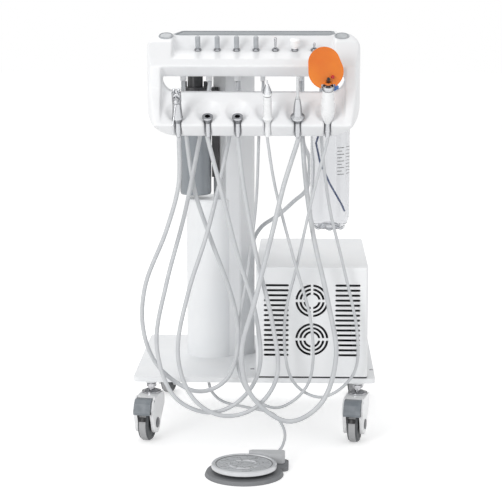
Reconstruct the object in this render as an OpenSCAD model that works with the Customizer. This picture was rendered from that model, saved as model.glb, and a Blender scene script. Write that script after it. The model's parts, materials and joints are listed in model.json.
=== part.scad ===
// Portable dental unit on casters: base with compressor, column, two-nose instrument head,
// water and waste bottles, six instruments with hoses, and a foot pedal.
// +X right, +Y away from the user, +Z up; origin on the floor under the middle of the object.

/* [Base] */
// Width of the base plate
base_w = 490; // [440:5:600]
// Depth of the base plate
base_d = 400; // [400:5:520]
// Depth of the base plate's folded edge
base_t = 10; // [8:1:16]
// Corner radius of the base plate
base_corner = 12; // [6:1:30]

/* [Casters] */
// Diameter of the caster wheels
wheel_d = 75; // [60:1:80]
// Width of a caster tyre
tyre_w = 24; // [20:1:28]
// Trail from the swivel stem to the wheel's axle
trail = 29; // [26:1:32]
// Inset of the stems from the plate's edges
stem_inset = 34; // [30:1:60]
// Angle by which the parked casters are turned
caster_yaw = -12; // [-30:1:30]

/* [Compressor] */
// Width of the compressor case
case_w = 225; // [215:1:227]
// Depth of the compressor case
case_d = 370; // [330:1:380]
// Height of the compressor case
case_h = 224; // [212:1:260]
// Number of slots in each vent block
vent_count = 15; // [8:1:17]
// Distance between two vent slots
vent_pitch = 10.2; // [8:0.1:11]
// Height of one vent slot
vent_slot = 4.6; // [3:0.2:6]

/* [Column] */
// Width and depth of the octagonal column
column_w = 86; // [80:1:96]
// Wall thickness of the column
column_wall = 4; // [3:0.5:6]
// Diameter of the white pump cover beside the column
cover_d = 104; // [100:1:110]
// Height of the white pump cover
cover_h = 340; // [280:1:345]

/* [Head] */
// Width of the moulded head
head_w = 413; // [410:1:470]
// Height of the console's underside above the floor
console_z = 742; // [735:1:840]
// Wall thickness of the mouldings
shell_wall = 4; // [3:0.5:5]
// Distance between two instrument holders
holder_pitch = 57.3; // [55:0.1:60]
// Forward lean of the instruments in their holders
holder_lean = 30; // [26:1:32]
// Distance between two controls
control_pitch = 37.5; // [32:0.5:40]

/* [Bottles] */
// Diameter of the clear water bottle
water_d = 79; // [70:1:84]
// Height of the clear water bottle with its neck
water_h = 283; // [220:1:290]
// Diameter of the dark waste bottle
waste_d = 66; // [60:1:70]

/* [Foot pedal] */
// Diameter of the pressed disc
pedal_d = 124; // [110:1:136]
// Reach of the pedal in front of the base plate
pedal_reach = 298; // [270:1:360]

/* [Hidden] */
$fn = 48;

rest_gap = 0.3; // gap between neighbours that only rest beside each other
run_gap = 0.05; // radial clearance of a turning or sliding shaft

// Casters
wheel_r = wheel_d / 2;
hood_w = 42;
hood_top = wheel_r + 55.5;
hood_rear = 22;
hood_front = trail + 33;
wheel_slot = tyre_w + 3;
axle_r = 4;
stem_r = 6;
swivel_ring_r = 19.6;
boss_r = 13;
boss_h = 8;
boss_z = hood_top + 21;
lever_w = 34;
lever_pin_r = 2.5;
lever_gap = 18.5;
lever_pin = [lever_gap - trail - wheel_r, hood_top - 7];
caster_reach = (trail + wheel_r) * cos(caster_yaw) + tyre_w / 2 * abs(sin(caster_yaw)) - stem_inset;

// Base plate, in front-edge coordinates shifted by front_y
plate_wall = 2;
deck_z = boss_z + boss_h + base_t;
front_y = (pedal_reach - base_d - caster_reach) / 2;
stem_x = base_w / 2 - stem_inset;
stem_y = [front_y + stem_inset, front_y + base_d - stem_inset];

// Compressor case
gasket_t = 3;
case_wall = 2;
case_x = 116.5;
case_y = front_y + 3 + case_d / 2;
case_front = case_y - case_d / 2;
case_z = deck_z + gasket_t;
vent_w = 50;
vent_x = 71.7;
vent_z = case_z + 44.6;
grille_z = [deck_z + 80, deck_z + 159];
grille_r = [15, 23, 31];
grille_slot = 4.6;
grille_spoke = 5;
fan_size = 76;
fan_t = 20;
fan_duct_r = 35;
fan_y = case_front + case_wall + rest_gap;
rotor_r = 33.5;
rotor_hub_r = 13;
rotor_pin_r = 3;
pump_r = 52;
pump_y = case_y + 30;

// Column and pump cover
column_x = -49;
column_y = front_y + 234;
column_flat = 15;
groove_r = 1.6;
column_side = column_x - column_w / 2;
cover_x = column_side - 6.6;
cover_y = front_y + 224;
cover_wall = 3;
tank_r = 23;
tank_x = column_side - 29;
tank_y = front_y + 222;

// Head
head_top = console_z + 81.7;
head_low = console_z - 113.3;
corner_low_r = 60;
corner_top_r = 30;
window_half = head_w / 2 - 30;
window_z = console_z - 29.4;
window_r = 27;
cheek_rear = -25;
moulding_rear = 30;
rear_half = 169.5;
rear_y = 285;
tray_z = console_z + 75.7;
tray_half = 161.5;
tray_front = -5.5;
tray_rear = 272;
tray_corner = 14;
recess_half = 156.2;
floor_t = 3;
profile = [
    [moulding_rear, 0], [moulding_rear, 72], [12, 81.7], [0, 81.7], [-42, 65.5], [-74, 36.6], [-88, 21.5],
    [-78, -20], [-105, -90.5], [-72, -113.3], [cheek_rear, -113.3], [cheek_rear, 0]
];
scoop_profile = [[-52, -2], [-140, 55.4], [-140, -138], [-60, -29.4]];
recess_profile = [[-8, 110], [-8, 78.6], [-22, 52.8], [-73.5, 35.1], [-120, 35.1], [-120, 110]];
cavity_profile = [
    [moulding_rear - 3, -10], [moulding_rear - 3, 67.5], [10, 71.7], [-3, 71.7], [-18.5, 47.6],
    [-70, 29.6], [-81, 20.5], [-50, shell_wall], [-28, shell_wall], [-28, -10]
];

// Holders, as the place of the instrument's collar
holder_y = front_y - 97;
holder_z = console_z - 75.6;
holder_x = [for (i = [0:5]) (i - 2.5) * holder_pitch];
neck_r = 6;
neck_len = 42;
collar_r = 10.4;
collar_h = 11;
seat_gap = 0.4;
dish_r = 31;
dish_y = front_y - 101;
dish_z = console_z - 52.2;

// Controls on the shelf
shelf_tilt = 18.97;
control_y = front_y - 31;
control_z = console_z + 49.75;
control_x = [for (i = [0:6]) (i - 3) * control_pitch + 4.8];
nut_r = 7;
nut_shaft_r = 5;
spindle_r = 3;
knob_r = 5;
knob_h = 29;

// Bottles
water_x = 150.8;
water_y = front_y + 42;
cap_h = 46;
water_top = console_z - cap_h + 18;
water_z = water_top - water_h;
neck_d = 27;
water_wall = 1.2;
waste_x = column_side - 37;
waste_y = front_y + 203;
waste_z = deck_z + cover_h + 8;
waste_top = console_z - 45;
waste_wall = 2;
lid_r = 30;

// Pedal
pedal_x = -12;
pedal_y = front_y - pedal_reach + 75;
pedal_base_r = 75;
pedal_base_t = 7;
pedal_z = 12;
pedal_rim = 10;
pedal_travel = 4;
pedal_box = [70, 42, 27];
pedal_box_x = 30;
pedal_box_y = pedal_y + 58;

// Hoses: diameters, gland places and hand-chosen routes (x, distance behind the plate's front, z)
hose_sides = 8;
gland_len = 12;
gland_wall = 2;
hose_d = [8.5, 8.5, 8.5, 6, 9.5, 6];
gland_x = [-140, -89, -33, 17, 90, 131];
gland_y = [15, 15, 15, 15, 15, -12];
hose_routes = [
    [[-145, -66, 532], [-171, -60, 439], [-213, -50, 332], [-219, -42, 239], [-189, -34, 161],
     [-119, -30, 112], [-57, -28, 133], [-31, -26, 206], [-42, -20, 297], [-88, -10, 424], [-119, 0, 519],
     [-136, 10, 639]],
    [[-64, -67, 531], [-32, -64, 402], [4, -62, 281], [13, -60, 169], [-28, -58, 99], [-94, -57, 75],
     [-162, -56, 113], [-192, -52, 215], [-172, -40, 334], [-137, -22, 468], [-110, 2, 604]],
    [[-16, -72, 517], [8, -74, 391], [38, -76, 264], [48, -76, 157], [4, -76, 90], [-66, -74, 74],
     [-125, -70, 116], [-149, -64, 203], [-128, -52, 318], [-90, -30, 439], [-56, 0, 585]],
    [[44, -64, 524], [78, -60, 393], [115, -54, 254], [111, -44, 136], [49, -32, 79], [-14, -20, 112],
     [-35, -12, 197], [-14, -8, 341], [4, -4, 486], [10, 6, 633]],
    [[60, -82, 535], [37, -88, 439], [6, -92, 315], [-21, -92, 207], [-3, -90, 120], [68, -86, 66],
     [136, -80, 103], [164, -70, 195], [148, -54, 298], [117, -30, 434], [100, -4, 558]],
    [[118, -62, 520], [87, -46, 377], [62, -36, 255], [75, -32, 141], [137, -30, 101], [200, -26, 148],
     [206, -22, 237], [178, -18, 366], [149, -14, 487], [133, -12, 616]]
];
supply_d = 9;
supply_gland = [95, 250];
supply_route = [
    [96, 250, 596], [111, 250, 548], [106, 260, 487], [78, 275, 456], [44, 285, 424], [5, 294, 394],
    [-13, 298, 348], [-16, 299, 240]
];
supply_end = [-16, 299];
pedal_hose_d = 6;
pedal_gland = [-95, 60];
pedal_route = [[-87, 50, 88], [-61, 24, 75], [-10, -18, 75], [37, -40, 70], [57, -54, 51], [64, -85, 38],
               [60, -115, 26]];

// ---------------------------------------------------------------- helpers

// Extrudes a (y, z) outline along X, centred on X = 0
module along_x(width) {
    rotate([90, 0, 90]) linear_extrude(height = width, center = true) children();
}

// Extrudes an (x, z) outline along Y, from y0 to y1
module along_y(y0, y1) {
    translate([0, y1, 0]) rotate([90, 0, 0]) linear_extrude(height = y1 - y0) children();
}

// Flat plate with rounded corners, centred on X and Y
module rounded_plate(w, d, h, r) {
    linear_extrude(height = h) rounded_square(w, d, r);
}

module rounded_square(w, d, r) {
    square([w - 2 * r, d], center = true);
    square([w, d - 2 * r], center = true);
    for (x = [-1, 1], y = [-1, 1]) translate([x * (w / 2 - r), y * (d / 2 - r)]) circle(r);
}

// Slot with round ends along X
module slot_shape(w, h) {
    square([w - h, h], center = true);
    for (x = [-1, 1]) translate([x * (w - h) / 2, 0]) circle(h / 2, $fn = 16);
}

function unit(v) = v / norm(v);
function route_tangent(route, i) =
    unit(route[min(i + 1, len(route) - 1)] - route[max(i - 1, 0)]);
function route_side(route, i) =
    let (t = route_tangent(route, i), u = i == 0 ? [1, 0, 0] : route_side(route, i - 1))
    unit(u - t * (u * t));

// Round hose swept along the points of a route
module hose(route, diameter) {
    last = len(route) - 1;
    n = hose_sides;
    points = [
        for (i = [0:last])
            let (t = route_tangent(route, i), u = route_side(route, i), v = cross(t, u))
            for (k = [0:n - 1])
                route[i] + diameter / 2 * (u * cos(360 * k / n) + v * sin(360 * k / n))
    ];
    sides = [
        for (i = [0:last - 1], k = [0:n - 1])
            let (a = i * n + k, b = i * n + (k + 1) % n)
            each [[a, a + n, b + n], [a, b + n, b]]
    ];
    caps = [[for (k = [0:n - 1]) k], [for (k = [n - 1:-1:0]) last * n + k]];
    color("silver") polyhedron(points = points, faces = concat(sides, caps));
}

// ---------------------------------------------------------------- base and casters

module base_plate() {
    color("white") {
        difference() {
            translate([0, front_y + base_d / 2, deck_z - base_t]) rounded_plate(base_w, base_d, base_t,
                base_corner);
            translate([0, front_y + base_d / 2, deck_z - base_t - 1])
                rounded_plate(base_w - 2 * plate_wall, base_d - 2 * plate_wall,
                              base_t + 1 - 2 * plate_wall, base_corner - plate_wall);
        }
        for (x = [-1, 1], y = stem_y)
            translate([x * stem_x, y, boss_z]) cylinder(r = boss_r, h = boss_h + base_t - plate_wall);
        translate([pedal_gland[0], front_y + pedal_gland[1], boss_z + boss_h])
            cylinder(r = pedal_hose_d / 2 + gland_wall, h = base_t - plate_wall);
        translate([supply_end[0], front_y + supply_end[1], deck_z - plate_wall])
            cylinder(r = supply_d / 2 + gland_wall, h = gland_len + plate_wall);
    }
}

module caster_stems() {
    color("silver") for (x = [-1, 1], y = stem_y) translate([x * stem_x, y, 0]) {
        translate([0, 0, hood_top - 13]) cylinder(r = stem_r, h = boss_z - hood_top + 13);
        translate([0, 0, hood_top + rest_gap]) cylinder(r = swivel_ring_r, h = 3);
        translate([0, 0, hood_top + rest_gap + 3]) cylinder(r1 = swivel_ring_r - 2, r2 = 12, h = 3);
        translate([0, 0, boss_z - 9]) cylinder(r = 10, h = 6, $fn = 6);
    }
}

// Puts a caster piece, drawn about its own stem, at one corner
module at_caster(side, end) {
    translate([side * stem_x, stem_y[end], 0]) rotate(caster_yaw + 180 * end) children();
}

module caster_hood(side, end) {
    color("white") at_caster(side, end) {
        difference() {
            along_x(hood_w) {
                polygon([
                    [hood_rear - 8, hood_top], [hood_rear, hood_top - 8], [hood_rear, hood_top - 24],
                    [8 - trail + 20, wheel_r + 4], [-trail, wheel_r - 21], [-trail - 21, wheel_r],
                    [-hood_front, hood_top - 24], [-hood_front + 6, hood_top - 8], [-hood_front + 18,
                        hood_top]
                ]);
                translate([-trail, wheel_r]) circle(21);
            }
            translate([0, -trail, wheel_r]) rotate([0, 90, 0])
                cylinder(r = wheel_r + 3, h = wheel_slot, center = true);
            translate([0, -trail - 21, 0]) along_x(wheel_slot) translate([-22, -10]) square([24,
                wheel_r + 20]);
            if (end == 0) {
                along_x(lever_w + 1) translate([-trail - 60, wheel_r + 22]) square([49, 50]);
                translate([0, lever_pin[0], lever_pin[1]]) rotate([0, 90, 0])
                    cylinder(r = lever_pin_r + run_gap, h = hood_w + 2, center = true);
            }
            translate([0, 0, hood_top - 14]) cylinder(r = stem_r + run_gap, h = 20);
        }
        translate([0, -trail, wheel_r]) rotate([0, 90, 0]) cylinder(r = axle_r, h = hood_w - 4,
            center = true);
    }
}

module caster_wheel(side, end) {
    color("gray") at_caster(side, end) translate([0, -trail, wheel_r]) rotate([0, 90, 0]) difference() {
        rotate_extrude($fn = 64) polygon([
            [axle_r + run_gap, -tyre_w / 2], [11, -tyre_w / 2], [11, -tyre_w / 2 + 3], [wheel_r - 10,
                -tyre_w / 2 + 3],
            [wheel_r - 8, -tyre_w / 2 + 1], [wheel_r - 3, -tyre_w / 2 + 2], [wheel_r, -tyre_w / 2 + 6],
            [wheel_r, tyre_w / 2 - 6], [wheel_r - 3, tyre_w / 2 - 2], [wheel_r - 8, tyre_w / 2 - 1],
            [wheel_r - 10, tyre_w / 2 - 3], [11, tyre_w / 2 - 3], [11, tyre_w / 2], [axle_r + run_gap,
                tyre_w / 2]
        ]);
    }
}

module brake_lever(side) {
    color("dimgray") at_caster(side, 0) {
        along_x(lever_w) translate(lever_pin) polygon([
            [4, 5], [-9, 5], [-17, -3], [-24, -20], [-22, -25], [-18, -24], [-14, -17], [-5, -11], [4, -5]
        ]);
        translate([0, lever_pin[0], lever_pin[1]]) rotate([0, 90, 0])
            cylinder(r = lever_pin_r, h = hood_w - 1, center = true);
    }
}

// ---------------------------------------------------------------- column, cover and tank

// Octagonal outline of the column, grown by a margin
module column_outline(margin) {
    half = column_w / 2 + margin;
    flat = column_flat + margin * 0.414;
    translate([column_x, column_y]) polygon([
        [-flat, -half], [flat, -half], [half, -flat], [half, flat],
        [flat, half], [-flat, half], [-half, flat], [-half, -flat]
    ]);
}

module column() {
    color("lightgray") translate([0, 0, deck_z]) linear_extrude(height = console_z - deck_z) difference() {
        column_outline(0);
        column_outline(-column_wall);
        for (x = [-1, 1])
            translate([column_x + x * column_flat, column_y - column_w / 2]) circle(groove_r, $fn = 16);
    }
}

module pump_cover() {
    color("white") difference() {
        translate([cover_x, cover_y, deck_z]) rotate_extrude($fn = 72) polygon([
            [0, 0], [cover_d / 2, 0], [cover_d / 2, cover_h - 5], [cover_d / 2 - 1.5, cover_h - 1.5],
            [cover_d / 2 - 5, cover_h], [0, cover_h]
        ]);
        translate([0, 0, deck_z - 1]) linear_extrude(height = cover_h + 2) column_outline(rest_gap);
        difference() {
            translate([cover_x, cover_y, deck_z - 1]) cylinder(r = cover_d / 2 - cover_wall,
                h = cover_h + 1 - cover_wall);
            translate([0, 0, deck_z - 1]) linear_extrude(height = cover_h + 2) column_outline(rest_gap +
                cover_wall);
        }
    }
}

module air_tank() {
    tank_h = cover_h - 20;
    color("lightsteelblue") translate([tank_x, tank_y, deck_z]) rotate_extrude() polygon([
        [0, 0], [tank_r - 4, 0], [tank_r - 4, 8], [tank_r, 14], [tank_r, tank_h - 14], [tank_r - 4,
            tank_h - 6],
        [8, tank_h], [0, tank_h]
    ]);
}

// ---------------------------------------------------------------- compressor

// One ring of the fan grille, split in four by the spokes
module grille_ring(r) {
    difference() {
        circle(r + grille_slot / 2, $fn = 64);
        circle(r - grille_slot / 2, $fn = 64);
        square([grille_spoke, 4 * r], center = true);
        square([4 * r, grille_spoke], center = true);
    }
}

module compressor_case() {
    color("whitesmoke") difference() {
        translate([case_x, case_y, case_z]) rounded_plate(case_w, case_d, case_h, 6);
        translate([case_x, case_y, case_z - 1])
            rounded_plate(case_w - 2 * case_wall, case_d - 2 * case_wall, case_h + 1 - case_wall, 4);
        along_y(case_front - 1, case_front + case_wall + 1) {
            for (side = [-1, 1], i = [0:vent_count - 1])
                translate([case_x + side * vent_x, vent_z + i * vent_pitch]) slot_shape(vent_w, vent_slot);
            for (z = grille_z, r = grille_r) translate([case_x, z]) grille_ring(r);
        }
    }
}

module case_gasket() {
    color("black") translate([case_x, case_y, deck_z]) difference() {
        rounded_plate(case_w - 1, case_d - 1, gasket_t, 6);
        translate([0, 0, -1]) rounded_plate(case_w - 12, case_d - 12, gasket_t + 2, 4);
    }
}

// Oil-free pump: motor on a foot plate with two upright cylinder heads
module compressor_pump() {
    motor_z = deck_z + 74;
    color("slategray") {
        translate([case_x, pump_y, deck_z]) for (x = [-1, 1], y = [-1, 1])
            translate([x * 72, y * 50, 0]) cylinder(r = 11, h = 12);
        translate([case_x, pump_y, deck_z + 12]) rounded_plate(176, 130, 5, 8);
        translate([case_x, pump_y, deck_z + 17]) translate([-60, -36, 0]) cube([120, 72, 14]);
        translate([case_x, pump_y, motor_z]) rotate([0, 90, 0]) cylinder(r = pump_r - 4, h = 110,
            center = true);
        for (x = [-1, 1]) translate([case_x + x * 70, pump_y, motor_z]) {
            rotate([0, 90, 0]) cylinder(r = 40, h = 30, center = true);
            cylinder(r = 27, h = 78);
            for (z = [46:8:70]) translate([0, 0, z]) cylinder(r = 31, h = 3);
            translate([0, 0, 78]) rounded_plate(56, 56, 10, 6);
        }
    }
}

// Two square fan housings behind the grilles, each with a three-armed bearing boss
module fan_frames() {
    color("dimgray") for (z = grille_z) translate([case_x, fan_y, z]) rotate([-90, 0, 0]) {
        difference() {
            rounded_plate(fan_size, fan_size, fan_t, 4);
            translate([0, 0, -1]) cylinder(r = fan_duct_r, h = fan_t + 2);
        }
        translate([0, 0, fan_t - 3]) cylinder(r = 12, h = 3);
        for (a = [80, 200, 320]) rotate(a) translate([8, -2.5, fan_t - 2.6]) cube([fan_duct_r - 6, 5, 2.2]);
        translate([0, 0, 4]) cylinder(r = rotor_pin_r, h = fan_t - 6);
    }
}

module fan_rotor(index) {
    color("black") translate([case_x, fan_y, grille_z[index]]) rotate([-90, 0, 0]) {
        difference() {
            translate([0, 0, 2]) cylinder(r = rotor_hub_r, h = fan_t - 6);
            translate([0, 0, 3.5]) cylinder(r = rotor_pin_r + run_gap, h = fan_t);
        }
        for (k = [0:6]) rotate(k * 360 / 7) translate([rotor_hub_r - 1, 0, 9]) rotate([38, 0, 0])
            translate([0, -8, -0.8]) cube([rotor_r - rotor_hub_r, 16, 1.6]);
    }
}

// ---------------------------------------------------------------- head

// Front outline of the head in (x, z), pulled in by an inset
module head_outline(inset) {
    half = head_w / 2 - inset;
    low = head_low + inset;
    top = head_top - inset;
    r_low = corner_low_r - inset;
    r_top = corner_top_r - inset;
    translate([-half + r_low, low]) square([2 * (half - r_low), top - low]);
    translate([-half + r_top, low + r_low]) square([2 * (half - r_top), top - low - r_low]);
    translate([-half, low + r_low]) square([2 * half, top - low - r_low - r_top]);
    for (x = [-1, 1]) {
        translate([x * (half - r_low), low + r_low]) circle(r_low, $fn = 96);
        translate([x * (half - r_top), top - r_top]) circle(r_top, $fn = 64);
    }
}

// Window between the bar and the console, with round lower corners
// Seen from above: the head's front corners are bevelled back
module head_plan(inset) {
    half = head_w / 2 - inset;
    polygon([
        [-half, 70], [-half, -34], [-half + 3.5, -64], [-half + 10, -86], [-half + 21, -112],
        [half - 21, -112], [half - 10, -86], [half - 3.5, -64], [half, -34], [half, 70]
    ]);
}

module window_outline() {
    half = window_half;
    intersection() {
        translate([-half, window_z]) square([2 * half, console_z - window_z]);
        union() {
            translate([-half + window_r, window_z]) square([2 * (half - window_r), 2 * window_r]);
            for (x = [-1, 1]) translate([x * (half - window_r), window_z + window_r]) circle(window_r,
                $fn = 64);
            translate([-half, window_z + window_r]) square([2 * half, window_r]);
        }
    }
}

// Puts an instrument piece, drawn along +Z from its collar, in a holder
module in_holder(i) {
    translate([holder_x[i], holder_y, holder_z]) rotate([holder_lean, 0, 0]) children();
}

// Room that one holder takes out of the bar: dish, conical seat and open slot
module holder_cut(i) {
    translate([holder_x[i], dish_y, dish_z]) sphere(r = dish_r, $fn = 64);
    in_holder(i) {
        translate([0, 0, -90]) cylinder(r = neck_r + 0.6, h = 100);
        translate([-neck_r - 0.6, -60, -90]) cube([2 * neck_r + 1.2, 60, 92]);
        translate([0, 0, -collar_h - seat_gap])
            cylinder(r1 = neck_r + 0.6, r2 = collar_r + 1, h = collar_h + seat_gap);
        cylinder(r = collar_r + 1, h = 40);
    }
}

// Puts a control piece, drawn along +Z from the shelf, at one control's place
module at_control(i) {
    translate([control_x[i], control_y, control_z]) rotate([shelf_tilt, 0, 0]) children();
}

module head_shell() {
    color("white") difference() {
        union() {
            intersection() {
                translate([0, front_y, console_z]) along_x(head_w) polygon(profile);
                along_y(front_y - 120, front_y + 60) head_outline(0);
                translate([0, front_y,
                    head_low - 5]) linear_extrude(height = head_top - head_low + 10) head_plan(0);
            }
            translate([0, front_y + (moulding_rear + rear_y) / 2 - 5, console_z])
                rounded_plate(2 * rear_half, rear_y - moulding_rear + 10, tray_z - console_z + 3, 20);
        }
        along_y(front_y - 130, front_y + cheek_rear + 5) window_outline();
        translate([0, front_y, console_z]) along_x(2 * window_half) polygon(scoop_profile);
        for (x = [-1:1]) translate([x * 81, front_y - 88, console_z + 21.5]) sphere(r = 1.6, $fn = 24);
        translate([0, front_y, console_z]) along_x(2 * recess_half) polygon(recess_profile);
        translate([0, front_y + (tray_front + tray_rear) / 2, tray_z])
            rounded_plate(2 * tray_half, tray_rear - tray_front, 20, tray_corner);
        intersection() {
            translate([0, front_y, console_z]) along_x(head_w) polygon(cavity_profile);
            along_y(front_y - 120, front_y + 60) head_outline(shell_wall);
            translate([0, front_y + shell_wall + 1, head_low]) linear_extrude(height = head_top - head_low)
                head_plan(shell_wall);
        }
        translate([0, front_y + (moulding_rear + rear_y) / 2 - 9, console_z - 10])
            rounded_plate(2 * (rear_half - shell_wall), rear_y - moulding_rear + 10,
                6 + tray_z - console_z, 16);
        for (i = [0:5]) holder_cut(i);
        for (i = [0:6]) at_control(i) translate([0, 0, -12]) cylinder(r = nut_shaft_r + 0.1, h = 20);
    }
}

// Closing panel under the console, with a gland for every hose
module head_floor() {
    front_half = head_w / 2 - shell_wall - rest_gap;
    rear_w = 2 * (rear_half - shell_wall - rest_gap);
    front_depth = moulding_rear - 3 + 28;
    rear_depth = rear_y - moulding_rear - 1;
    color("gainsboro") {
        translate([-front_half, front_y - 28 + rest_gap, console_z]) cube([2 * front_half,
            front_depth - 2 * rest_gap, floor_t]);
        translate([0, front_y + moulding_rear + rear_depth / 2 - 6, console_z])
            rounded_plate(rear_w, rear_depth - 1, floor_t, 12);
        for (i = [0:5]) translate([gland_x[i], front_y + gland_y[i], console_z - gland_len])
            cylinder(r = hose_d[i] / 2 + gland_wall, h = gland_len);
        translate([supply_gland[0], front_y + supply_gland[1], console_z - gland_len])
            cylinder(r = supply_d / 2 + gland_wall, h = gland_len);
    }
}

module tray_mat() {
    mat_w = 2 * tray_half - 2;
    mat_d = tray_rear - tray_front - 2;
    color("gray") translate([0, front_y + (tray_front + tray_rear) / 2, tray_z]) difference() {
        rounded_plate(mat_w, mat_d, 3, tray_corner - 1);
        translate([0, 0, 1.6]) rounded_plate(mat_w - 10, mat_d - 10, 3, tray_corner - 6);
    }
}

// Round grey covers on the console's two front shoulders
module corner_caps() {
    tilt = atan2(16.2, 42);
    color("gray") for (x = [-1, 1])
        translate([x * 171, front_y - 14, head_top + 0.02 - 14 * 16.2 / 42]) rotate([tilt, 0, 0])
            cylinder(r1 = 12, r2 = 11, h = 1.4);
}

module control_nuts() {
    color("silver") for (i = [0:6]) at_control(i) difference() {
        union() {
            cylinder(r = nut_r, h = 2.4, $fn = 6);
            translate([0, 0, -10]) cylinder(r = nut_shaft_r, h = 14);
        }
        translate([0, 0, -11]) cylinder(r = spindle_r + run_gap, h = 20);
    }
}

// Long fluted knob of a water valve
module water_knob(i) {
    color("gray") at_control(i) {
        translate([0, 0, -8]) cylinder(r = spindle_r, h = 16);
        difference() {
            translate([0, 0, 4.5]) rotate_extrude() polygon([
                [0, 0], [knob_r - 0.8, 0], [knob_r, 1.2], [knob_r, knob_h - 7], [knob_r - 1.4,
                    knob_h - 5], [0, knob_h - 4.5]
            ]);
            for (k = [0:11]) rotate(k * 30) translate([knob_r + 0.1, 0, 6]) cylinder(r = 0.6,
                h = knob_h - 10, $fn = 16);
        }
    }
}

module pressure_knob() {
    color("white") at_control(5) {
        translate([0, 0, -8]) cylinder(r = spindle_r, h = 16);
        translate([0, 0, 4.5]) rotate_extrude() polygon([
            [0, 0], [6, 0], [6, 3], [9.5, 5], [10, 7], [10, 15], [8.8, 17], [0, 17.6]
        ]);
    }
}

// Toggle lever on a ball inside its nut
module toggle(i, length) {
    color("silver") at_control(i) {
        sphere(r = spindle_r - run_gap);
        cylinder(r1 = 1.6, r2 = 2.6, h = length);
        translate([0, 0, length]) sphere(r = 2.6);
    }
}

// ---------------------------------------------------------------- bottles

module waste_bottle() {
    h = waste_top - waste_z;
    r = waste_d / 2;
    color("dimgray") translate([waste_x, waste_y, waste_z]) rotate_extrude($fn = 64) polygon([
        [0, 0], [r - 6, 0], [r - 1.5, 1.5], [r, 6], [r, h - 30], [r - 3, h - 20], [lid_r - 6, h - 12],
            [lid_r - 6, h],
        [lid_r - 6 - waste_wall, h], [lid_r - 6 - waste_wall, h - 13], [r - 5, h - 21], [r - waste_wall,
            h - 31],
        [r - waste_wall, 7], [r - 6, waste_wall], [0, waste_wall]
    ]);
}

// Lid of the waste bottle with its two elbows and the hanger beside the column
module waste_lid() {
    arm_x = column_x - column_w / 2;
    color("black") {
        translate([waste_x, waste_y, waste_top - 11]) difference() {
            cylinder(r = lid_r, h = 20);
            translate([0, 0, -1]) cylinder(r = lid_r - 6 + rest_gap, h = 12 + rest_gap);
            for (k = [0:17]) rotate(k * 20) translate([lid_r + 0.6, 0, -1]) cylinder(r = 1.4, h = 18,
                $fn = 16);
        }
        translate([waste_x, waste_y, waste_top + 9]) {
            cylinder(r = 16, h = console_z - waste_top - 9);
            for (x = [-1, 1]) translate([x * 22, 0, 0]) cylinder(r = 4.5, h = 12);
        }
        translate([0, 0, waste_top - 180]) linear_extrude(height = 189) polygon([
            [arm_x - 2.6, column_y - 34], [arm_x + 12, column_y - 34], [arm_x + 12,
                column_y - column_flat - 12.5],
            [arm_x - 0.4, column_y - column_flat - 0.4], [arm_x - 2.6, column_y - column_flat]
        ]);
        translate([waste_x + 20, waste_y - 12, waste_top + 2]) cube([arm_x - waste_x - 16, 18, 7]);
    }
}

// Clear bottle with a moulded five-footed base
module water_bottle() {
    r = water_d / 2;
    n = neck_d / 2;
    color("lightcyan", 0.4) translate([water_x, water_y, water_z]) {
        rotate_extrude($fn = 64) polygon([
            [0, 14], [14, 12], [24, 6], [r - 12, 4], [r - 4, 14], [r, 28],
            [r, water_h - 62], [r - 3, water_h - 52], [r - 12, water_h - 38], [n + 4, water_h - 26], [n,
                water_h - 20],
            [n, water_h], [n - 2, water_h], [n - 2, water_h - 20], [n + 3, water_h - 27.5],
            [r - 13, water_h - 39.5], [r - 4, water_h - 52.5], [r - water_wall, water_h - 62],
            [r - water_wall, 28], [r - 5, 15], [r - 12.5, 5.2], [24, 7.2], [14, 13.2], [0, 15.2]
        ]);
        for (k = [0:4]) rotate(k * 72 + 54) translate([r - 16, 0, 9]) difference() {
            sphere(r = 9, $fn = 32);
            sphere(r = 7.8, $fn = 32);
            translate([-12, -12, -1]) cube([24, 24, 24]);
        }
    }
}

module water_cap() {
    top = console_z - water_top + 16;
    color("royalblue") translate([water_x, water_y, water_top - 16]) rotate_extrude($fn = 48) polygon([
        [0, 16.3], [0, top], [12, top], [12, 24], [neck_d / 2 + 3, 20],
        [neck_d / 2 + 3, 0], [neck_d / 2 + rest_gap, 0], [neck_d / 2 + rest_gap, 16.3]
    ]);
}

// Pickup tube inside the bottle, hanging from the cap
module water_tubes() {
    route = [
        [water_x, water_y, water_top], [water_x - 2, water_y, water_top - 30],
        [water_x - 16, water_y - 10, water_top - 70], [water_x - 28, water_y - 14, water_top - 108],
        [water_x - 20, water_y - 12, water_top - 146], [water_x, water_y - 8, water_top - 190],
        [water_x + 24, water_y - 4, water_top - 232], [water_x + 30, water_y - 3, water_top - 246]
    ];
    hose(route, 4);
}

// ---------------------------------------------------------------- instruments, each drawn from its collar up +Z

// Neck, hose nut and conical collar that seat in the holder
module instrument_foot() {
    translate([0, 0, -neck_len]) cylinder(r = neck_r - 0.8, h = 10);
    translate([0, 0, -neck_len + 10]) cylinder(r = neck_r, h = neck_len - 10 - collar_h);
    translate([0, 0, -collar_h]) cylinder(r1 = neck_r, r2 = collar_r, h = collar_h);
}

button_bore_r = 2.6;

module syringe_body() {
    color("silver") in_holder(0) difference() {
        union() {
            instrument_foot();
            rotate_extrude() polygon([[0, 0], [collar_r, 0], [9.6, 3], [8.6, 22], [8.2, 34], [9, 38], [9,
                56], [7.6, 59], [0, 59]]);
            translate([0, 0, 47]) rotate([90, 0, 0]) cylinder(r = 6.4, h = 13);
        }
        translate([0, 0, 47]) rotate([90, 0, 0]) translate([0, 0, 5]) cylinder(r = 4 + run_gap, h = 20);
        for (x = [-1, 1]) translate([x * 4.4, 0, 50.4]) cylinder(r = button_bore_r + run_gap, h = 20);
    }
}

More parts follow.
